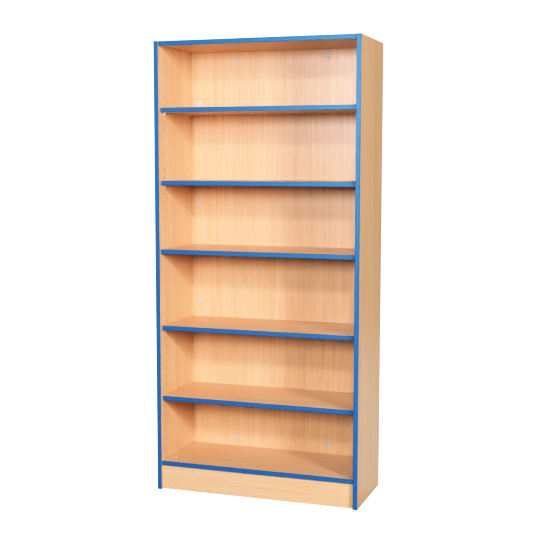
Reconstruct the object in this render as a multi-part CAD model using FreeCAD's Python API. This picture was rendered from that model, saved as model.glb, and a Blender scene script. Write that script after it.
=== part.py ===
import FreeCAD, Part
import math
import os
from FreeCAD import Matrix, Placement, Vector

# Library bookcase of melamine-faced board with lipped front edges, a fixed middle shelf and four
# adjustable shelves. Millimetres. The origin is on the floor under the middle of the case,
# +X to the right, -Y to the front, +Z up.

# Case
case_width = 840.0
case_depth = 350.0
case_height = 1800.0
board = 18.0
plinth_height = 100.0
middle_shelf_top = 981.0

# Plastic lipping glued along the front edges, rounded by a share of its thickness
lipping = 2.0
lipping_round_share = 0.75

# How far each board's front stands behind the front edges of the sides
top_setback = 5.0
base_setback = 5.0
middle_shelf_setback = 12.0
plinth_setback = 15.0
shelf_setback = 20.0

# Room round an adjustable shelf
shelf_end_gap = 1.0
shelf_back_gap = 1.0

# What is left of a board behind a blind hole in its face
hole_web = 6.0

# Peg holes in the sides: two columns, one set back from the front edge and one standing before the
# back panel, in a group above the middle shelf and one below it. Each group starts a drop below the
# board over it and ends above a margin over the board under it.
peg_hole_diameter = 5.0
peg_pitch = 32.0
peg_front_distance = 55.0
peg_back_distance = 53.0
upper_holes_drop = 164.0
lower_holes_drop = 216.0
holes_floor_margin = 80.0

# Which hole of a group, counted from its top, carries each of its two shelves
shelf_hole_shares = (1 / 6, 2 / 3)

# Shelf support: a plug, a plate against the side, a ledge on top and a web under the ledge
plug_clearance = 0.05
plug_end_room = 3.0
support_width = 9.0
support_reach = 9.0
support_drop = 11.0
support_wall = 1.8
ledge_corner = 2.0

# Cam fitting: a round housing turned by a cross recess, with a pocket for the end of its bolt
cam_diameter = 15.0
cam_clearance = 0.1
cam_below_bolt = 4.5
cam_distance = 37.0
cam_cross_length = 8.5
cam_cross_width = 1.8
cam_cross_depth = 2.6

# Cam bolt: a threaded end in the face of one board and a shank in the edge of the other
bolt_bore_diameter = 8.0
bolt_shank_diameter = 7.0
bolt_thread_diameter = 5.0
bolt_clearance = 0.1
bolt_end_room = 0.5

# Where the cam fittings lie: in level boards set back from the front edge of the sides and standing
# before the back panel, and round the edge of the back panel
cam_front_distance = 72.0
cam_back_distance = 47.0
back_cam_pitch = 416.0
back_cam_count = 4
back_cam_row_spacing = 396.0

# Wood dowels
dowel_diameter = 8.0
dowel_in_edge = 24.0
dowel_clearance = 0.05
dowel_end_room = 0.5
dowel_to_cam_distance = 32.0
plinth_dowel_spacing = 250.0
plinth_dowel_count = 3

# Flats of the prisms that stand for round holes and for the plugs, bolts, dowels and cams in them:
# few, because the case has hundreds of them
drill_flat_count = 8
cam_flat_count = 12

# How far a cutter runs past the face that it opens
overrun = 1.0

# Faces and levels that the pieces share
half_width = case_width / 2
side_face = half_width - board
front = -case_depth / 2
rear = case_depth / 2
back_face = rear - board
back_middle = rear - board / 2
top_underside = case_height - board
top_middle = case_height - board / 2
base_top = plinth_height + board
base_middle = plinth_height + board / 2
middle_shelf_underside = middle_shelf_top - board
middle_shelf_middle = middle_shelf_top - board / 2
plinth_front = front + plinth_setback
plinth_middle = plinth_front + board / 2
face_hole_depth = board - hole_web
ledge_rise = peg_hole_diameter / 2
peg_columns = (front + peg_front_distance, back_face - peg_back_distance)
cam_columns = (front + cam_front_distance, back_face - cam_back_distance)
dowel_columns = (cam_columns[0] - dowel_to_cam_distance, cam_columns[1] + dowel_to_cam_distance)

RIGHT = Vector(1, 0, 0)
LEFT = Vector(-1, 0, 0)
FORWARD = Vector(0, -1, 0)
BACKWARD = Vector(0, 1, 0)
UP = Vector(0, 0, 1)
DOWN = Vector(0, 0, -1)


# Helpers

def block(low_x, high_x, low_y, high_y, low_z, high_z):
    """A box between two corners."""
    corner = Vector(low_x, low_y, low_z)
    return Part.makeBox(high_x - low_x, high_y - low_y, high_z - low_z, corner)


def rod(diameter, start, end, flats=drill_flat_count):
    """A bar along local X that is a diameter wide across its flats, the first of them on top."""
    turn = 2 * math.pi / flats
    corner = diameter / 2 / math.cos(turn / 2)
    angles = [turn * (step + 1 / 2) for step in range(flats)]
    ring = [Vector(start, corner * math.cos(angle), corner * math.sin(angle)) for angle in angles]
    return Part.Face(Part.makePolygon(ring + ring[:1])).extrude(RIGHT * (end - start))


def place(shape, joint):
    """A copy of a shape, moved from the origin to a joint."""
    origin, inward, face = joint
    side = face.cross(inward)
    at_joint = Placement(Matrix(inward.x, side.x, face.x, origin.x,
                                inward.y, side.y, face.y, origin.y,
                                inward.z, side.z, face.z, origin.z))
    moved = shape.copy()
    moved.Placement = at_joint * shape.Placement
    return moved


def place_all(shape, joints):
    """One copy of a shape at each joint."""
    return [place(shape, joint) for joint in joints]


def export(node, solids):
    """Write one node: a single solid, or a group of alike ones."""
    shape = solids[0] if len(solids) == 1 else Part.makeCompound(solids)
    shape.exportStep("parts/" + node + ".step")


# Joints. Each is a point on the face of one board, the way from there into the board or the space
# that it meets, and the way that the fitting's own face looks. Fittings and cutters are made at the
# origin, with those two ways along X and Z.

def side_joints(columns, height, face):
    """Joints on the inner faces of both sides."""
    left = [(Vector(-side_face, y, height), RIGHT, face) for y in columns]
    right = [(Vector(side_face, y, height), LEFT, face) for y in columns]
    return left + right


def back_joints():
    """Cam joints all round the edge of the back panel."""
    middle = (base_top + top_underside) / 2
    joints = []
    for step in range(back_cam_count):
        height = middle + back_cam_pitch * (step - (back_cam_count - 1) / 2)
        joints += side_joints((back_middle,), height, FORWARD)
    for across in (-back_cam_row_spacing / 2, back_cam_row_spacing / 2):
        joints.append((Vector(across, back_middle, top_underside), DOWN, FORWARD))
        joints.append((Vector(across, back_middle, base_top), UP, FORWARD))
    return joints


def plinth_dowel_joints():
    """Dowel joints between the underside of the base and the plinth's top edge."""
    steps = [step - (plinth_dowel_count - 1) / 2 for step in range(plinth_dowel_count)]
    return [(Vector(plinth_dowel_spacing * step, plinth_middle, plinth_height), DOWN, BACKWARD)
            for step in steps]


def joints_into(joints, way):
    """The joints that lead one way, so those on the face of one board."""
    return [joint for joint in joints if joint[1] == way]


def hole_heights(first, board_below):
    """Heights of a group of peg holes, from the top one down."""
    room = first - board_below - holes_floor_margin
    return [first - peg_pitch * step for step in range(int(room / peg_pitch) + 1)]


cam_joints = {
    "back_panel": back_joints(),
    "top_panel": side_joints(cam_columns, top_middle, DOWN),
    "base_panel": side_joints(cam_columns, base_middle, UP),
}
dowel_joints = {
    "top_panel": side_joints(dowel_columns, top_middle, UP),
    "base_panel": side_joints(dowel_columns, base_middle, UP),
    "middle_shelf": side_joints(dowel_columns, middle_shelf_middle, UP),
    "plinth": plinth_dowel_joints() + side_joints((plinth_middle,), plinth_height / 2, BACKWARD),
}
upper_holes = hole_heights(top_underside - upper_holes_drop, middle_shelf_top)
lower_holes = hole_heights(middle_shelf_underside - lower_holes_drop, base_top)
peg_joints = {height: side_joints(peg_columns, height, UP) for height in upper_holes + lower_holes}
shelf_holes = [group[round(len(group) * share)]
               for group in (upper_holes, lower_holes) for share in shelf_hole_shares]


# Where the cam stands in its joint, and the cutters

cam_seat = (RIGHT * cam_distance, UP, LEFT)
peg_hole = rod(peg_hole_diameter, -face_hole_depth, overrun)
bolt_hole = rod(bolt_thread_diameter, -face_hole_depth, overrun)
bolt_bore = rod(bolt_bore_diameter, -overrun, cam_distance)
cam_bore = place(rod(cam_diameter, -cam_below_bolt, board / 2 + overrun, cam_flat_count), cam_seat)
dowel_face_hole = rod(dowel_diameter, -face_hole_depth, overrun)
dowel_edge_hole = rod(dowel_diameter, -overrun, dowel_in_edge + dowel_end_room)


def held_cuts(node):
    """Cutters for the cams, bolts and dowels that hold a board by its edges."""
    cuts = place_all(bolt_bore, cam_joints.get(node, []))
    cuts += place_all(cam_bore, cam_joints.get(node, []))
    cuts += place_all(dowel_edge_hole, dowel_joints.get(node, []))
    return cuts


# Fittings

def cam():
    """The cam housing, level with the face of its board, with its pocket and cross recess."""
    face = board / 2
    housing = place(rod(cam_diameter - cam_clearance * 2, -cam_below_bolt, face, cam_flat_count), cam_seat)
    pocket = rod(bolt_shank_diameter + bolt_clearance * 2, 0, cam_distance + bolt_clearance)
    arm = block(-cam_cross_length / 2, cam_cross_length / 2, -cam_cross_width / 2, cam_cross_width / 2,
                face - cam_cross_depth, face + overrun)
    cross_arm = arm.copy()
    cross_arm.rotate(Vector(0, 0, 0), UP, 90)
    cross = arm.fuse(cross_arm).removeSplitter()
    cross.translate(RIGHT * cam_distance)
    return housing.cut([pocket, cross])


def cam_bolt():
    """The bolt: its threaded end fills the hole in one board and its shank ends in the cam."""
    thread = rod(bolt_thread_diameter - bolt_clearance, bolt_end_room - face_hole_depth, 0)
    shank = rod(bolt_shank_diameter, 0, cam_distance)
    return thread.fuse(shank)


def dowel():
    """A plain wood dowel."""
    return rod(dowel_diameter - dowel_clearance * 2, dowel_end_room - face_hole_depth, dowel_in_edge)


def shelf_support():
    """The cast support, with its ledge level with the top of the peg hole."""
    half = support_width / 2
    foot = ledge_rise - support_drop
    plug = rod(peg_hole_diameter - plug_clearance * 2, plug_end_room - face_hole_depth, 0)
    plate = block(0, support_wall, -half, half, foot, ledge_rise)
    ledge = block(0, support_reach, -half, half, ledge_rise - support_wall, ledge_rise)
    outer_corners = [edge for edge in ledge.Edges
                     if edge.BoundBox.XMin > support_wall and edge.BoundBox.YLength < support_wall]
    ledge = ledge.makeChamfer(ledge_corner, outer_corners)
    web_reach = support_reach - ledge_corner
    outline = [Vector(0, 0, foot), Vector(support_wall, 0, foot),
               Vector(web_reach, 0, ledge_rise - support_wall), Vector(0, 0, ledge_rise - support_wall)]
    web = Part.Face(Part.makePolygon(outline + outline[:1])).extrude(BACKWARD * support_wall)
    web.translate(FORWARD * (support_wall / 2))
    return plate.fuse([ledge, web, plug]).removeSplitter()


def fittings():
    """The cams and bolts of each board, the dowels, and the supports of each adjustable shelf."""
    for node, joints in cam_joints.items():
        export(node + "_cams", place_all(cam(), joints))
        export(node + "_cam_bolts", place_all(cam_bolt(), joints))
    for node, joints in dowel_joints.items():
        export(node + "_dowels", place_all(dowel(), joints))
    for number, height in enumerate(shelf_holes, 1):
        export("shelf_%d_supports" % number, place_all(shelf_support(), peg_joints[height]))


# Boards

def lipping_strip(low_x, high_x, face, low_z, high_z):
    """Lipping in front of a board's edge, rounded along its two long front edges."""
    strip = block(low_x, high_x, face, face + lipping, low_z, high_z)
    length = max(high_x - low_x, high_z - low_z)
    front_edges = [edge for edge in strip.Edges
                   if edge.BoundBox.YMax < face + lipping / 2 and edge.Length > length - lipping]
    return strip.makeFillet(lipping * lipping_round_share, front_edges)


def lipped_board(node, low_x, high_x, face, back, low_z, high_z, cuts):
    """A bored board and the lipping on its front edge, as two nodes."""
    core = block(low_x, high_x, face + lipping, back, low_z, high_z)
    export(node, [core.cut(cuts) if cuts else core])
    export(node + "_lipping", [lipping_strip(low_x, high_x, face, low_z, high_z)])


def sides():
    """Both sides, bored for the pegs and for the fittings of every board between them."""
    pegged = [joint for joints in peg_joints.values() for joint in joints]
    bolted = [joint for joints in cam_joints.values() for joint in joints]
    dowelled = [joint for joints in dowel_joints.values() for joint in joints]
    for node, inward, low_x in (("left_side_panel", RIGHT, -half_width),
                                ("right_side_panel", LEFT, side_face)):
        cuts = place_all(peg_hole, joints_into(pegged, inward))
        cuts += place_all(bolt_hole, joints_into(bolted, inward))
        cuts += place_all(dowel_face_hole, joints_into(dowelled, inward))
        lipped_board(node, low_x, low_x + board, front, rear, 0, case_height, cuts)


def level_boards():
    """The boards that lie between the sides: top, fixed middle shelf and base."""
    back_bolts = cam_joints["back_panel"]
    top_cuts = held_cuts("top_panel") + place_all(bolt_hole, joints_into(back_bolts, DOWN))
    lipped_board("top_panel", -side_face, side_face, front + top_setback, rear,
                 top_underside, case_height, top_cuts)
    base_cuts = held_cuts("base_panel") + place_all(bolt_hole, joints_into(back_bolts, UP))
    base_cuts += place_all(dowel_face_hole, plinth_dowel_joints())
    lipped_board("base_panel", -side_face, side_face, front + base_setback, rear,
                 plinth_height, base_top, base_cuts)
    lipped_board("middle_shelf", -side_face, side_face, front + middle_shelf_setback, back_face,
                 middle_shelf_underside, middle_shelf_top, held_cuts("middle_shelf"))


def upright_boards():
    """The back panel, inside the sides, top and base, and the plinth under the base."""
    back = block(-side_face, side_face, back_face, rear, base_top, top_underside)
    export("back_panel", [back.cut(held_cuts("back_panel"))])
    plinth = block(-side_face, side_face, plinth_front, plinth_front + board, 0, plinth_height)
    export("plinth", [plinth.cut(held_cuts("plinth"))])


def adjustable_shelves():
    """The loose shelves, counted from the top, each resting on its four supports."""
    end = side_face - shelf_end_gap
    for number, height in enumerate(shelf_holes, 1):
        underside = height + ledge_rise
        lipped_board("shelf_%d" % number, -end, end, front + shelf_setback, back_face - shelf_back_gap,
                     underside, underside + board, [])


os.makedirs("parts", exist_ok=True)
sides()
level_boards()
upright_boards()
adjustable_shelves()
fittings()
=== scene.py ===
import math

import bmesh
import bpy
from mathutils import Euler, Matrix, Vector


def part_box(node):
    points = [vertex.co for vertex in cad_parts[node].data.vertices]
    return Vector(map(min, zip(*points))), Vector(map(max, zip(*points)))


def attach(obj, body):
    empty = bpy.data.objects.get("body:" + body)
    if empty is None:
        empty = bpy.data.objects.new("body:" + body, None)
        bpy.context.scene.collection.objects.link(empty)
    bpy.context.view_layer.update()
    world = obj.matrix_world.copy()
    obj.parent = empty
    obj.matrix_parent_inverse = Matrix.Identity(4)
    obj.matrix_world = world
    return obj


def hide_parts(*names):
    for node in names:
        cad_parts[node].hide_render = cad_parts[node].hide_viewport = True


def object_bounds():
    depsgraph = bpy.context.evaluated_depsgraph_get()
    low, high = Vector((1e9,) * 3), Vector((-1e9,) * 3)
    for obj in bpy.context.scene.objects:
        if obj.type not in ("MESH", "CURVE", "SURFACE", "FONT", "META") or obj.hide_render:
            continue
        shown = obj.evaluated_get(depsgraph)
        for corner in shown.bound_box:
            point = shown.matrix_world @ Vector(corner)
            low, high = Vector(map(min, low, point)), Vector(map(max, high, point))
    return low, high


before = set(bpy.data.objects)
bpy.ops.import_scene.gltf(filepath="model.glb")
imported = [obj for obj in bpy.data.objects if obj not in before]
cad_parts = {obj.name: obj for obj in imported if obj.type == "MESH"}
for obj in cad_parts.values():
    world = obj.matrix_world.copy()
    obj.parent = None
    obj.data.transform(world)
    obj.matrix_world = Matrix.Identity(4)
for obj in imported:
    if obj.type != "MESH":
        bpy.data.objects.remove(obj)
CAD_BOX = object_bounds()

bl_info = {
    "name": "Library bookcase",
    "version": (1, 0, 0),
    "blender": (4, 5, 0),
    "location": "View3D > Sidebar > Bookcase",
    "description": "Finishes the boards, lipping and fittings of a library bookcase",
    "category": "Object",
}

MM = 0.001
X, Y, Z = range(3)
RIGHT = Vector((1, 0, 0))
FRONT = Vector((0, -1, 0))
UP = Vector((0, 0, 1))

# The body that pieces ride on, apart from the lipping of the shelves that draw out
CASE = "carcass"

# Boards: the two sides, the shelves that draw out, and all boards that lie level
SIDE_PANELS = ("left_side_panel", "right_side_panel")
SHELVES = ("shelf_1", "shelf_2", "shelf_3", "shelf_4")
LEVEL_BOARDS = ("top_panel", "middle_shelf", "base_panel") + SHELVES

# Fittings, and for each group of cams the direction that its faces look in
CAM_FACES = {"back_panel_cams": FRONT, "base_panel_cams": UP, "top_panel_cams": -UP}
BOLTS = ("back_panel_cam_bolts", "base_panel_cam_bolts", "top_panel_cam_bolts")
SUPPORTS = tuple(shelf + "_supports" for shelf in SHELVES)
DOWELS = ("top_panel_dowels", "base_panel_dowels", "middle_shelf_dowels", "plinth_dowels")

# Flats round a hole, round a cam and across a softened edge
HOLE_SEGMENTS = 24
CAM_SEGMENTS = 48
SOFT_SEGMENTS = 3

# Faces that meet at more than the first angle have a sharp edge between them, which may be softened; faces
# that meet at less than the second are shaded as one
SHARP_ANGLE = math.radians(50)
SMOOTH_ANGLE = math.radians(35)

# Corners nearer to each other than the first distance are one; corners nearer than the second to a broad
# face of a board lie on it
WELD_DISTANCE = 0.01 * MM
FACE_MARGIN = 1 * MM

# Each cam of a group is turned this much further than the one before; its cross narrows to this share at
# the floor
CAM_TURN = math.radians(35)
CROSS_FLOOR_SHARE = 0.85

# The beech print: how much of its tone the streaks give, and how squarely a face has to look along an axis
# to count as facing that way
STREAK_SHARE = 0.72
FACING_SHARE = 0.5

# Heights of the pressed and extruded textures, as shares of their spacing
PEARL_HEIGHT_SHARE = 0.1
RIPPLE_HEIGHT_SHARE = 0.02

# Sockets of a mix node, whose names repeat: its factor, two numbers or two colours, and what comes out
FACTOR, NUMBER_A, NUMBER_B, COLOUR_A, COLOUR_B = 0, 2, 3, 6, 7
MIXED_NUMBER, MIXED_COLOUR = 0, 2

# The camera, fitted to the edges of the case: its focal length, the pixel where its optical axis meets the
# picture, where it stands in metres, and how it is turned in radians
PICTURE_SIDE_PX = 540
FOCAL_LENGTH_PX = 1078.06
OPTICAL_AXIS_PX = (277.19, 271.66)
CAMERA_PLACE = (1.4332, -4.0783, 1.3291)
CAMERA_YAW = 0.3303
CAMERA_PITCH = -0.1013
CAMERA_ROLL = 0.0014
SENSOR_MM = 36

# The studio: soft lights by name, place, width, height and power, in metres and watts, all turned to the
# middle of the case; the colour and brightness of the backdrop; and half the side of the floor in metres,
# with its squares along a side
CASE_MIDDLE = (Vector(CAD_BOX[0]) + Vector(CAD_BOX[1])) / 2
LIGHTS = (
    ("right key", (4.12, -3.18, 2.0), 0.7, 1.3, 250),
    ("front softbox", (-0.4, -5.0, 1.92), 0.7, 0.9, 140),
    ("high lamp", (1.89, -5.06, 3.5), 0.4, 0.4, 102),
    ("left fill", (-4.0, -3.0, 2.0), 1.5, 1.5, 30),
    ("right fill", (3.0, 2.5, 1.0), 2.0, 2.0, 5),
    ("back light", (0.0, 3.8, 2.3), 0.8, 1.2, 75),
    ("top light", (0.3, 0.9, 3.9), 1.2, 1.2, 80),
    ("left side light", (-3.6, 0.5, 1.3), 2.0, 2.4, 62),
)
BACKDROP_COLOUR = (1, 1, 1, 1)
BACKDROP_LIGHT = 1.4
FLOOR_HALF_SIDE = 20
FLOOR_SQUARES = 8

# Light and the tone that is shown for it: the curve of all colours, which ends at white, and the curve that
# deepens red in the shade
TONE_CURVE = ((0, 0), (0.06, 0.042), (0.14, 0.132), (0.30, 0.358),
              (0.55, 0.64), (0.90, 0.905), (1.35, 1.0))
RED_CURVE = ((0, 0), (0.05, 0.04), (0.15, 0.10), (0.30, 0.235),
             (0.45, 0.41), (0.60, 0.585), (1, 1))
WHITE_LIGHT = TONE_CURVE[-1][0]


# Settings

def linear(hex_colour):
    """An sRGB hex colour as linear red, green and blue."""
    parts = [int(hex_colour[start:start + 2], 16) / 255 for start in (0, 2, 4)]
    return tuple(part / 12.92 if part <= 0.04045 else ((part + 0.055) / 1.055) ** 2.4 for part in parts)


def colour(name, description, hex_colour):
    """A colour that a user would change."""
    return bpy.props.FloatVectorProperty(
        name=name, description=description, subtype="COLOR", size=3, min=0, max=1,
        default=linear(hex_colour))


def length(name, description, millimetres):
    """A size that a user would change."""
    return bpy.props.FloatProperty(
        name=name, description=description, default=millimetres * MM, min=0, precision=4, unit="LENGTH")


class BookcaseColours(bpy.types.PropertyGroup):
    """Colours of the finishes."""
    beech_pale: colour("Beech, pale", "Paler bands of the beech print", "E3B38F")
    beech_deep: colour("Beech, deep", "Deeper bands of the beech print", "D39F77")
    beech_fleck: colour("Beech, fleck", "Short flecks of the beech print", "B98052")
    chip_pale: colour("Chips, pale", "Paler chips of the raw core", "CDA37A")
    chip_dark: colour("Chips, dark", "Darker chips of the raw core", "AE8058")
    lipping: colour("Lipping", "Blue plastic lipping", "2A5D94")
    zinc: colour("Zinc", "Die-cast cams", "D2E4FC")
    # The recess colour is a darker zinc that paints shade inside the cross of a cam
    recess: colour("Recess", "Darker zinc inside the cross of a cam, as painted shade", "C4CCD4")
    nickel: colour("Nickel", "Plated shelf supports", "EEE8E2")
    steel: colour("Steel", "Zinc-plated cam bolts", "C9CBC6")
    dowel: colour("Dowel", "Bare beech dowels", "CBA074")
    floor: colour("Floor", "Studio floor in front of the case", "686868")
    paper: colour("Paper", "Pale paper behind the case", "929292")


class BookcaseSizes(bpy.types.PropertyGroup):
    """Sizes of the prints, textures and small edges."""
    band_width: length("Band width", "Width of the broad bands of the beech print", 55)
    band_length: length("Band length", "Length of the broad bands of the beech print", 1400)
    streak_width: length("Streak width", "Width of the streaks of the beech print", 9)
    streak_length: length("Streak length", "Length of the streaks of the beech print", 300)
    fleck_width: length("Fleck width", "Width of the flecks of the beech print", 2.2)
    fleck_length: length("Fleck length", "Length of the flecks of the beech print", 22)
    pearl: length("Pearl", "Spacing of the pearl texture pressed into the melamine", 1.2)
    chip: length("Chip", "Size of a chip in the raw core", 2.5)
    ripple: length("Ripple", "Spacing of the faint ripple along the extruded lipping", 9)
    cast_grain: length("Casting grain", "Grain of the die-cast metal", 0.8)
    cam_rim: length("Cam rim", "Width of the bevel round the face of a cam", 0.5)
    cam_land: length("Cam land", "Width of the raised ring round the face of a cam", 0.9)
    cam_dish: length("Cam dish", "Depth of the sunk face inside that ring", 0.4)
    cross_length: length("Cross length", "Length of the cross recess of a cam", 8.5)
    cross_width: length("Cross width", "Width of the cross recess of a cam", 2.4)
    cross_depth: length("Cross depth", "Depth of the cross recess of a cam", 2.6)
    support_bevel: length("Support bevel", "Soft edge of the cast shelf supports", 0.35)
    lipping_radius: length("Lipping radius", "Radius of the front edges of the lipping", 0.9)


def settings(context):
    """The colours and sizes as the user left them."""
    return context.scene.bookcase_colours, context.scene.bookcase_sizes


# Materials

def add(tree, kind, inputs=None, **values):
    """Add a node with its settings; inputs are values, or outputs to link, by socket name or number."""
    node = tree.nodes.new(kind)
    for name, value in values.items():
        setattr(node, name, value)
    for socket, value in (inputs or {}).items():
        if isinstance(value, bpy.types.NodeSocket):
            tree.links.new(value, node.inputs[socket])
        else:
            node.inputs[socket].default_value = value
    return node


def new_material(name, **values):
    """A material with one shader, whose constant values are set on its own sockets."""
    material = bpy.data.materials.new(name)
    material.use_nodes = True
    shader = material.node_tree.nodes["Principled BSDF"]
    for socket, value in values.items():
        shader.inputs[socket.replace("_", " ")].default_value = value
    return material, material.node_tree, shader


def opaque(colour_value, share=1.0):
    """A colour, darkened to a share of itself, with full alpha."""
    return (*(part * share for part in colour_value), 1)


def grain_pattern(tree, place, grain, width, long, detail):
    """A pattern drawn out along the axis of the grain, from 0 to 1."""
    scale = [1 / width] * 3
    scale[grain] = 1 / long
    stretched = add(tree, "ShaderNodeMapping", {"Vector": place, "Scale": scale})
    noise = add(tree, "ShaderNodeTexNoise",
                {"Vector": stretched.outputs[0], "Scale": 1, "Detail": detail, "Roughness": 0.55})
    return noise.outputs["Fac"]


def chip_pattern(tree, place, pale, dark, sizes):
    """Pressed chips of many tones, as they show where a board was sawn or drilled."""
    chips = add(tree, "ShaderNodeTexVoronoi", {"Vector": place, "Scale": 1 / sizes.chip})
    tone = add(tree, "ShaderNodeSeparateColor", {"Color": chips.outputs["Color"]})
    blend = add(tree, "ShaderNodeMix", {FACTOR: tone.outputs["Red"], COLOUR_A: pale, COLOUR_B: dark},
                data_type="RGBA")
    return blend.outputs[MIXED_COLOUR]


def beech_melamine(name, grain, face, colours, sizes):
    """Beech-print melamine pressed on chipboard, by the axes of its grain and of its broad faces."""
    # A pale straight-grained print under a satin pressed surface: the eye sees soft bands, narrow streaks
    # and short flecks, all along the grain, and raw chips where the board was sawn; the flecks are drawn
    # coarser than real ones, so that they show
    material, tree, shader = new_material(name, IOR=1.6)
    coordinates = add(tree, "ShaderNodeTexCoord")
    place = coordinates.outputs["Object"]
    bands = grain_pattern(tree, place, grain, sizes.band_width, sizes.band_length, detail=1)
    streaks = grain_pattern(tree, place, grain, sizes.streak_width, sizes.streak_length, detail=3)
    flecks = grain_pattern(tree, place, grain, sizes.fleck_width, sizes.fleck_length, detail=1)
    tone = add(tree, "ShaderNodeMix", {FACTOR: STREAK_SHARE, NUMBER_A: bands, NUMBER_B: streaks},
               data_type="FLOAT")
    depth = add(tree, "ShaderNodeMapRange",
                {"Value": tone.outputs[MIXED_NUMBER], "From Min": 0.32, "From Max": 0.68})
    banded = add(tree, "ShaderNodeMix", {FACTOR: depth.outputs[0], COLOUR_A: opaque(colours.beech_pale),
                                         COLOUR_B: opaque(colours.beech_deep)}, data_type="RGBA")
    fleck = add(tree, "ShaderNodeMapRange",
                {"Value": flecks, "From Min": 0.60, "From Max": 0.74, "To Max": 0.42})
    printed = add(tree, "ShaderNodeMix", {FACTOR: fleck.outputs[0], COLOUR_A: banded.outputs[MIXED_COLOUR],
                                          COLOUR_B: opaque(colours.beech_fleck)}, data_type="RGBA")

    # Sawn edges look across the broad faces; the edges that look up are covered with the same print
    normal = add(tree, "ShaderNodeSeparateXYZ", {0: coordinates.outputs["Normal"]})
    facing = add(tree, "ShaderNodeMath", {0: normal.outputs[face]}, operation="ABSOLUTE")
    edge = add(tree, "ShaderNodeMath", {0: facing.outputs[0], 1: FACING_SHARE}, operation="LESS_THAN")
    lower = add(tree, "ShaderNodeMath", {0: normal.outputs[Z], 1: FACING_SHARE}, operation="LESS_THAN")
    sawn = add(tree, "ShaderNodeMath", {0: edge.outputs[0], 1: lower.outputs[0]}, operation="MULTIPLY")
    chips = chip_pattern(tree, place, opaque(colours.chip_pale), opaque(colours.chip_dark), sizes)
    surface = add(tree, "ShaderNodeMix", {FACTOR: sawn.outputs[0], COLOUR_A: printed.outputs[MIXED_COLOUR],
                                          COLOUR_B: chips}, data_type="RGBA")
    tree.links.new(surface.outputs[MIXED_COLOUR], shader.inputs["Base Color"])

    sheen = add(tree, "ShaderNodeMapRange", {"Value": streaks, "To Min": 0.28, "To Max": 0.38})
    tree.links.new(sheen.outputs[0], shader.inputs["Roughness"])
    pearl = add(tree, "ShaderNodeTexNoise", {"Vector": place, "Scale": 1 / sizes.pearl, "Detail": 1})
    bump = add(tree, "ShaderNodeBump", {"Height": pearl.outputs["Fac"], "Strength": 0.12,
                                        "Distance": sizes.pearl * PEARL_HEIGHT_SHARE})
    tree.links.new(bump.outputs[0], shader.inputs["Normal"])
    return material


def drilled_chipboard(colours, sizes):
    """Chipboard where a drill went in, darkened with painted shade."""
    # Torn chips darkened almost to black as painted shade, for the deep shade inside the holes
    material, tree, shader = new_material("drilled chipboard", Roughness=0.9)
    place = add(tree, "ShaderNodeTexCoord").outputs["Object"]
    # Both tones are painted shade: the dark chip colour taken down to a small share of itself
    painted_shade = opaque(colours.chip_dark, share=0.28)
    painted_deep_shade = opaque(colours.chip_dark, share=0.08)
    tree.links.new(chip_pattern(tree, place, painted_shade, painted_deep_shade, sizes), shader.inputs["Base Color"])
    return material


def extruded_abs(colours, sizes):
    """Blue extruded ABS edging."""
    # Even coloured plastic: a satin sheen with a faint ripple from the die, and no grain
    material, tree, shader = new_material("blue extruded ABS", IOR=1.43)
    place = add(tree, "ShaderNodeTexCoord").outputs["Object"]
    ripple = add(tree, "ShaderNodeTexNoise", {"Vector": place, "Scale": 1 / sizes.ripple, "Detail": 2})
    tone = add(tree, "ShaderNodeMapRange",
               {"Value": ripple.outputs["Fac"], "From Min": 0.3, "From Max": 0.7})
    tinted = add(tree, "ShaderNodeMix", {FACTOR: tone.outputs[0], COLOUR_A: opaque(colours.lipping),
                                         COLOUR_B: opaque(colours.lipping, share=0.86)}, data_type="RGBA")
    tree.links.new(tinted.outputs[MIXED_COLOUR], shader.inputs["Base Color"])
    sheen = add(tree, "ShaderNodeMapRange",
                {"Value": ripple.outputs["Fac"], "To Min": 0.36, "To Max": 0.44})
    tree.links.new(sheen.outputs[0], shader.inputs["Roughness"])
    bump = add(tree, "ShaderNodeBump", {"Height": ripple.outputs["Fac"], "Strength": 0.05,
                                        "Distance": sizes.ripple * RIPPLE_HEIGHT_SHARE})
    tree.links.new(bump.outputs[0], shader.inputs["Normal"])
    return material


def plated_metal(name, tint, sizes, smooth, rough):
    """Metal that was cast or rolled and then plated or passivated, with roughness from smooth to rough."""
    # Bright metal with a fine grain that breaks up its reflections; the grain is drawn coarser than the
    # real one, so that it shows
    material, tree, shader = new_material(name, Metallic=1)
    place = add(tree, "ShaderNodeTexCoord").outputs["Object"]
    grain = add(tree, "ShaderNodeTexNoise", {"Vector": place, "Scale": 1 / sizes.cast_grain, "Detail": 2})
    tone = add(tree, "ShaderNodeMapRange",
               {"Value": grain.outputs["Fac"], "From Min": 0.35, "From Max": 0.65})
    tinted = add(tree, "ShaderNodeMix", {FACTOR: tone.outputs[0], COLOUR_A: opaque(tint),
                                         COLOUR_B: opaque(tint, share=0.8)}, data_type="RGBA")
    tree.links.new(tinted.outputs[MIXED_COLOUR], shader.inputs["Base Color"])
    sheen = add(tree, "ShaderNodeMapRange",
                {"Value": grain.outputs["Fac"], "To Min": smooth, "To Max": rough})
    tree.links.new(sheen.outputs[0], shader.inputs["Roughness"])
    return material


def turned_beech(colours, sizes):
    """Turned beech of the dowels."""
    # Plain fine-grained wood, dull where it was cut
    material, tree, shader = new_material("turned beech", Roughness=0.7)
    place = add(tree, "ShaderNodeTexCoord").outputs["Object"]
    grain = grain_pattern(tree, place, X, sizes.fleck_width, sizes.fleck_length, detail=2)
    tone = add(tree, "ShaderNodeMapRange", {"Value": grain, "From Min": 0.3, "From Max": 0.7})
    tinted = add(tree, "ShaderNodeMix", {FACTOR: tone.outputs[0], COLOUR_A: opaque(colours.dowel),
                                         COLOUR_B: opaque(colours.dowel, share=0.75)}, data_type="RGBA")
    tree.links.new(tinted.outputs[MIXED_COLOUR], shader.inputs["Base Color"])
    return material


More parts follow.
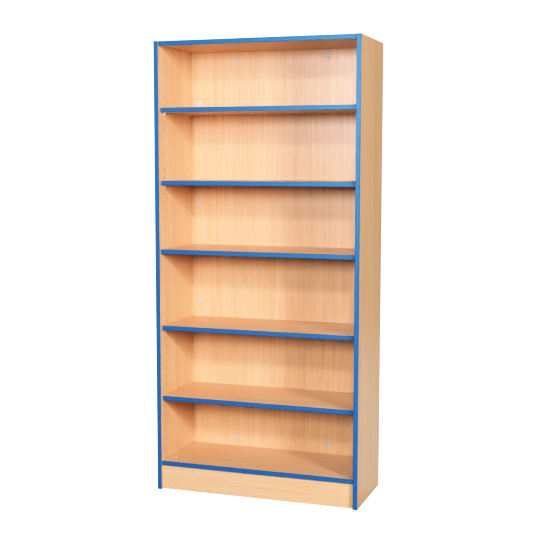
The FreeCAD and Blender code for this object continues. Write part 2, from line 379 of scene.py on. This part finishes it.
def backdrop_glow(tree):
    """The brightness of the backdrop, which the camera sees and which lights nothing."""
    seen = add(tree, "ShaderNodeLightPath").outputs["Is Camera Ray"]
    return add(tree, "ShaderNodeMath", {0: seen, 1: BACKDROP_LIGHT}, operation="MULTIPLY").outputs[0]


def overlit_floor(colours):
    """Studio floor with backdrop paper, overlit."""
    # Burnt out to white for the eye, as the sweep of a product photograph is; the paper behind the case
    # throws more light back on it than the floor in front does
    material, tree, shader = new_material("studio floor, overlit", Roughness=0.9,
                                          Emission_Color=BACKDROP_COLOUR)
    place = add(tree, "ShaderNodeSeparateXYZ", {0: add(tree, "ShaderNodeTexCoord").outputs["Object"]})
    behind = add(tree, "ShaderNodeMapRange",
                 {"Value": place.outputs["Y"], "From Min": CAD_BOX[0][Y], "From Max": CAD_BOX[1][Y]})
    tinted = add(tree, "ShaderNodeMix", {FACTOR: behind.outputs[0], COLOUR_A: opaque(colours.floor),
                                         COLOUR_B: opaque(colours.paper)}, data_type="RGBA")
    tree.links.new(tinted.outputs[MIXED_COLOUR], shader.inputs["Base Color"])
    tree.links.new(backdrop_glow(tree), shader.inputs["Emission Strength"])
    material.cycles.emission_sampling = "NONE"
    return material


def dress(node, material):
    """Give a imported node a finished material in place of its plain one."""
    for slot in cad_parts[node].material_slots:
        slot.material = material


# Meshes

def welded(node):
    """A node's mesh as a bmesh whose faces share their corners."""
    bm = bmesh.new()
    bm.from_mesh(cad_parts[node].data)
    bmesh.ops.remove_doubles(bm, verts=bm.verts, dist=WELD_DISTANCE)
    return bm


def group_boxes(verts):
    """The low and high corner of each group of vertices that edges join."""
    left = set(verts)
    boxes = []
    while left:
        # The list grows while it is walked, until no vertex of the group is left out
        reached = [left.pop()]
        for vert in reached:
            fresh = [edge.other_vert(vert) for edge in vert.link_edges if edge.other_vert(vert) in left]
            left.difference_update(fresh)
            reached.extend(fresh)
        corners = list(zip(*(vert.co for vert in reached)))
        boxes.append((Vector(map(min, corners)), Vector(map(max, corners))))
    return sorted(boxes, key=lambda box: tuple(box[0]))


def solid_boxes(node):
    """The low and high corner of each separate solid of a node."""
    bm = welded(node)
    boxes = group_boxes(bm.verts)
    bm.free()
    return boxes


def hole_floors(node):
    """The low and high corner of the floor of each blind hole in a side."""
    low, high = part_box(node)
    bm = welded(node)
    between = [vert for vert in bm.verts if low.x + FACE_MARGIN < vert.co.x < high.x - FACE_MARGIN]
    boxes = group_boxes(between)
    bm.free()
    return boxes


def sharp_edges(bm):
    """The edges where two faces meet at a sharp angle."""
    return [edge for edge in bm.edges if edge.calc_face_angle(0) > SHARP_ANGLE]


def soften(bm, edges, radius):
    """Round edges off."""
    bmesh.ops.bevel(bm, geom=edges, offset=radius, segments=SOFT_SEGMENTS, profile=0.5,
                    affect="EDGES", clamp_overlap=True)


def add_piece(name, bm, materials, node, body=CASE):
    """Turn a bmesh into a piece that rides on a body and stands for a node."""
    mesh = bpy.data.meshes.new(name)
    bm.to_mesh(mesh)
    bm.free()
    for material in materials:
        mesh.materials.append(material)
    mesh.shade_smooth()
    mesh.set_sharp_from_angle(angle=SMOOTH_ANGLE)
    piece = bpy.data.objects.new(name, mesh)
    bpy.context.scene.collection.objects.link(piece)
    piece.modifiers.new("Weighted normals", "WEIGHTED_NORMAL").keep_sharp = True
    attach(piece, body)
    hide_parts(node)


def add_ring(bm, radius, height, count):
    """A ring of vertices round local Z."""
    angles = [2 * math.pi * step / count for step in range(count)]
    return [bm.verts.new((radius * math.cos(angle), radius * math.sin(angle), height)) for angle in angles]


def join_rings(bm, lower, upper):
    """Faces between two rings."""
    for step, corner in enumerate(lower):
        bm.faces.new((lower[step - 1], corner, upper[step], upper[step - 1]))


def ring_edges(bm, ring):
    """The edges that go round a ring."""
    edges = []
    for step, corner in enumerate(ring):
        edges.append(bm.edges.get((ring[step - 1], corner)) or bm.edges.new((ring[step - 1], corner)))
    return edges


def paint_shade_from(bm, first):
    """Give the second material of a piece, a darker one that paints shade, to its faces from this number
    on.
    """
    bm.faces.ensure_lookup_table()
    for face in bm.faces[first:]:
        face.material_index = 1


def drilled_side(node):
    """A side with its holes drilled round; the walls and floors of the holes take the second material,
    which paints shade into them.
    """
    low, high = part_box(node)
    inner, outer = (high.x, low.x) if high.x < 0 else (low.x, high.x)
    bm = bmesh.new()
    corners = ((low.y, low.z), (high.y, low.z), (high.y, high.z), (low.y, high.z))
    rims = [[bm.verts.new((across, *corner)) for corner in corners] for across in (outer, inner)]
    join_rings(bm, *rims)
    bm.faces.new(rims[0])
    face_edges = ring_edges(bm, rims[1])
    for floor_low, floor_high in hole_floors(node):
        centre = (floor_low + floor_high) / 2
        radius = (floor_high.z - floor_low.z) / 2
        floor = add_ring(bm, radius, 0, HOLE_SEGMENTS)
        mouth = add_ring(bm, radius, 0, HOLE_SEGMENTS)
        for ring, across in ((floor, centre.x), (mouth, inner)):
            for vert in ring:
                vert.co = (across, centre.y + vert.co.x, centre.z + vert.co.y)
        before = len(bm.faces)
        join_rings(bm, floor, mouth)
        bm.faces.new(floor)
        paint_shade_from(bm, before)
        face_edges += ring_edges(bm, mouth)
    bmesh.ops.triangle_fill(bm, edges=face_edges, use_beauty=True, normal=RIGHT)
    bmesh.ops.recalc_face_normals(bm, faces=bm.faces)
    return bm


def rounded_lipping(node, sizes):
    """A strip of lipping with its two long front edges rounded."""
    low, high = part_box(node)
    half_length = max(high - low) / 2
    middle = (low.y + high.y) / 2
    bm = welded(node)
    front = [edge for edge in sharp_edges(bm)
             if edge.calc_length() > half_length and max(vert.co.y for vert in edge.verts) < middle]
    soften(bm, front, sizes.lipping_radius)
    return bm


def cross_outline(arm, half_width):
    """The corners of a cross, in order."""
    quarter = ((arm, -half_width), (arm, half_width), (half_width, half_width))
    turns = [Matrix.Rotation(math.radians(90 * step), 2) for step in range(4)]
    return [turn @ Vector(corner) for turn in turns for corner in quarter]


def add_cam(bm, centre, out, radius, depth, turn, sizes):
    """A cam: a bevelled drum with a raised ring round its sunk face, and a tapered cross to turn it by."""
    drum = bmesh.new()
    dish = -sizes.cam_dish
    bevelled = radius - sizes.cam_rim
    sunk = bevelled - sizes.cam_land
    profile = ((radius, -depth), (radius, -sizes.cam_rim), (bevelled, 0), (sunk, 0), (sunk + dish, dish))
    rings = [add_ring(drum, ring_radius, height, CAM_SEGMENTS) for ring_radius, height in profile]
    for lower, upper in zip(rings, rings[1:]):
        join_rings(drum, lower, upper)
    drum.faces.new(reversed(rings[0]))
    cross = cross_outline(sizes.cross_length / 2, sizes.cross_width / 2)
    mouth = [drum.verts.new((*corner, dish)) for corner in cross]
    floor = [drum.verts.new((*(corner * CROSS_FLOOR_SHARE), -sizes.cross_depth)) for corner in cross]
    # The walls and floor of the cross take the darker zinc, which paints shade into the recess
    before = len(drum.faces)
    join_rings(drum, floor, mouth)
    drum.faces.new(floor)
    paint_shade_from(drum, before)
    face_edges = ring_edges(drum, rings[-1]) + ring_edges(drum, mouth)
    bmesh.ops.triangle_fill(drum, edges=face_edges, use_beauty=True, normal=UP)
    bmesh.ops.recalc_face_normals(drum, faces=drum.faces)
    stand = UP.rotation_difference(out).to_matrix().to_4x4()
    drum.transform(Matrix.Translation(centre) @ stand @ Matrix.Rotation(turn, 4, "Z"))
    mesh = bpy.data.meshes.new("cam")
    drum.to_mesh(mesh)
    drum.free()
    bm.from_mesh(mesh)
    bpy.data.meshes.remove(mesh)


def cam_group(node, out, sizes):
    """The cams of a group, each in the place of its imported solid."""
    bm = bmesh.new()
    for number, (low, high) in enumerate(solid_boxes(node)):
        # A cam's box is as deep as the cam the way that it looks, and its diameter the other two ways
        size = high - low
        depth = abs(size.dot(out))
        radius = (size.x + size.y + size.z - depth) / 4
        centre = (low + high) / 2 + out * (depth / 2)
        add_cam(bm, centre, out, radius, depth, CAM_TURN * number, sizes)
    return bm


def soft_castings(node, sizes):
    """The shelf supports of a group with soft edges."""
    bm = welded(node)
    soften(bm, sharp_edges(bm), sizes.support_bevel)
    return bm


# Stage

def set_tone_curve(scene):
    """The tones of a product photograph: deep shade, and highlights that roll off before white."""
    view = scene.view_settings
    view.view_transform = "Standard"
    view.use_curve_mapping = True
    mapping = view.curve_mapping
    mapping.clip_max_x = WHITE_LIGHT
    red, *_, tone = mapping.curves
    for curve, steps in ((tone, TONE_CURVE), (red, RED_CURVE)):
        curve.points[0].location = steps[0]
        curve.points[-1].location = steps[-1]
        for light, shown in steps[1:-1]:
            curve.points.new(light, shown)
    mapping.update()


def add_floor(scene):
    """The pale floor, which is no part of the case."""
    bm = bmesh.new()
    bmesh.ops.create_grid(bm, x_segments=FLOOR_SQUARES, y_segments=FLOOR_SQUARES, size=FLOOR_HALF_SIDE)
    mesh = bpy.data.meshes.new("studio_floor")
    bm.to_mesh(mesh)
    bm.free()
    mesh.materials.append(overlit_floor(scene.bookcase_colours))
    sheet = bpy.data.objects.new("studio_floor", mesh)
    scene.collection.objects.link(sheet)


def add_world(scene):
    """White surroundings for the eye."""
    world = bpy.data.worlds.new("white studio")
    world.use_nodes = True
    tree = world.node_tree
    tree.nodes.clear()
    light = add(tree, "ShaderNodeBackground", {"Color": BACKDROP_COLOUR, "Strength": backdrop_glow(tree)})
    add(tree, "ShaderNodeOutputWorld", {"Surface": light.outputs[0]})
    scene.world = world


def add_softbox(scene, name, place, width, height, watts):
    """A soft light, turned to the middle of the case."""
    light = bpy.data.lights.new(name, "AREA")
    light.shape = "RECTANGLE"
    light.size = width
    light.size_y = height
    light.energy = watts
    lamp = bpy.data.objects.new(name, light)
    lamp.location = place
    lamp.rotation_euler = (CASE_MIDDLE - lamp.location).to_track_quat("-Z", "Y").to_euler()
    scene.collection.objects.link(lamp)


def add_camera(scene):
    """The camera at the photograph's place and angle."""
    lens = bpy.data.cameras.new("camera")
    lens.sensor_width = SENSOR_MM
    lens.lens = FOCAL_LENGTH_PX / PICTURE_SIDE_PX * SENSOR_MM
    # Shift is measured from the middle of the picture, as a share of its side
    lens.shift_x = 0.5 - OPTICAL_AXIS_PX[0] / PICTURE_SIDE_PX
    lens.shift_y = OPTICAL_AXIS_PX[1] / PICTURE_SIDE_PX - 0.5
    camera = bpy.data.objects.new("camera", lens)
    camera.location = CAMERA_PLACE
    turn = Euler((math.pi / 2 + CAMERA_PITCH, 0, CAMERA_YAW)).to_matrix()
    camera.rotation_euler = (turn @ Matrix.Rotation(CAMERA_ROLL, 3, "Z")).to_euler()
    scene.collection.objects.link(camera)
    scene.camera = camera


# Steps

class BOOKCASE_OT_sides(bpy.types.Operator):
    """Make the two sides, with the round holes that the pegs, bolts and dowels go into"""
    bl_idname = "bookcase.sides"
    bl_label = "Sides"

    def execute(self, context):
        board = beech_melamine("beech melamine, grain up the sides", Z, X, *settings(context))
        # The walls of the holes take chips darkened as painted shade
        hole = drilled_chipboard(*settings(context))
        for node in SIDE_PANELS:
            add_piece(node + "_drilled", drilled_side(node), [board, hole], node)
        return {"FINISHED"}


class BOOKCASE_OT_boards(bpy.types.Operator):
    """Finish the boards between the sides, each with its grain the way it was cut"""
    bl_idname = "bookcase.boards"
    bl_label = "Boards"

    def execute(self, context):
        back = beech_melamine("beech melamine, grain up the back", Z, Y, *settings(context))
        level = beech_melamine("beech melamine, grain along the shelves", X, Z, *settings(context))
        plinth = beech_melamine("beech melamine, grain along the plinth", X, Y, *settings(context))
        for node in LEVEL_BOARDS:
            dress(node, level)
        dress("back_panel", back)
        dress("plinth", plinth)
        return {"FINISHED"}


class BOOKCASE_OT_lipping(bpy.types.Operator):
    """Make the blue lipping on the front edges, rounded along its length"""
    bl_idname = "bookcase.lipping"
    bl_label = "Lipping"

    def execute(self, context):
        colours, sizes = settings(context)
        plastic = extruded_abs(colours, sizes)
        for board in SIDE_PANELS + LEVEL_BOARDS:
            node = board + "_lipping"
            body = board if board in SHELVES else CASE
            strip = rounded_lipping(node, sizes)
            add_piece(node + "_rounded", strip, [plastic], node, body)
        return {"FINISHED"}


class BOOKCASE_OT_cams(bpy.types.Operator):
    """Make the die-cast cams, with the cross that each is turned by"""
    bl_idname = "bookcase.cams"
    bl_label = "Cams"

    def execute(self, context):
        colours, sizes = settings(context)
        zinc = plated_metal("die-cast zinc, blue passivated", colours.zinc, sizes,
                            smooth=0.68, rough=0.82)
        # The recess zinc is darker than the face: painted shade inside the cross
        recess = plated_metal("die-cast zinc, painted shade in the recess", colours.recess, sizes,
                              smooth=0.6, rough=0.75)
        for node, out in CAM_FACES.items():
            add_piece(node + "_faces", cam_group(node, out, sizes), [zinc, recess], node)
        return {"FINISHED"}


class BOOKCASE_OT_supports(bpy.types.Operator):
    """Make the plated shelf supports, with the soft edges of a casting"""
    bl_idname = "bookcase.supports"
    bl_label = "Shelf supports"

    def execute(self, context):
        colours, sizes = settings(context)
        nickel = plated_metal("nickel-plated casting", colours.nickel, sizes, smooth=0.48, rough=0.62)
        for node in SUPPORTS:
            add_piece(node + "_castings", soft_castings(node, sizes), [nickel], node)
        return {"FINISHED"}


class BOOKCASE_OT_inner_fittings(bpy.types.Operator):
    """Finish the cam bolts and the dowels inside the joints"""
    bl_idname = "bookcase.inner_fittings"
    bl_label = "Bolts and dowels"

    def execute(self, context):
        colours, sizes = settings(context)
        steel = plated_metal("zinc-plated steel", colours.steel, sizes, smooth=0.25, rough=0.40)
        wood = turned_beech(colours, sizes)
        for node in BOLTS:
            dress(node, steel)
        for node in DOWELS:
            dress(node, wood)
        return {"FINISHED"}


class BOOKCASE_OT_stage(bpy.types.Operator):
    """Set the pale floor, the soft lights and the camera"""
    bl_idname = "bookcase.stage"
    bl_label = "Stage"

    def execute(self, context):
        scene = context.scene
        set_tone_curve(scene)
        add_floor(scene)
        add_world(scene)
        for light in LIGHTS:
            add_softbox(scene, *light)
        add_camera(scene)
        return {"FINISHED"}


STEPS = (BOOKCASE_OT_sides, BOOKCASE_OT_boards, BOOKCASE_OT_lipping, BOOKCASE_OT_cams,
         BOOKCASE_OT_supports, BOOKCASE_OT_inner_fittings, BOOKCASE_OT_stage)


class BOOKCASE_PT_steps(bpy.types.Panel):
    """Steps and settings of the bookcase"""
    bl_idname = "BOOKCASE_PT_steps"
    bl_label = "Library bookcase"
    bl_space_type = "VIEW_3D"
    bl_region_type = "UI"
    bl_category = "Bookcase"

    def draw(self, context):
        layout = self.layout
        for step in STEPS:
            layout.operator(step.bl_idname)
        for group in settings(context):
            box = layout.box()
            for name in group.__annotations__:
                box.prop(group, name)


CLASSES = (BookcaseColours, BookcaseSizes) + STEPS + (BOOKCASE_PT_steps,)


def register():
    """Add the settings, steps and panel to Blender."""
    for each in CLASSES:
        bpy.utils.register_class(each)
    bpy.types.Scene.bookcase_colours = bpy.props.PointerProperty(type=BookcaseColours)
    bpy.types.Scene.bookcase_sizes = bpy.props.PointerProperty(type=BookcaseSizes)


def unregister():
    """Take the settings, steps and panel away again."""
    del bpy.types.Scene.bookcase_sizes
    del bpy.types.Scene.bookcase_colours
    for each in reversed(CLASSES):
        bpy.utils.unregister_class(each)


def main():
    """Take every step in order."""
    register()
    bpy.ops.bookcase.sides()
    bpy.ops.bookcase.boards()
    bpy.ops.bookcase.lipping()
    bpy.ops.bookcase.cams()
    bpy.ops.bookcase.supports()
    bpy.ops.bookcase.inner_fittings()
    bpy.ops.bookcase.stage()


if __name__ == "__main__":
    main()
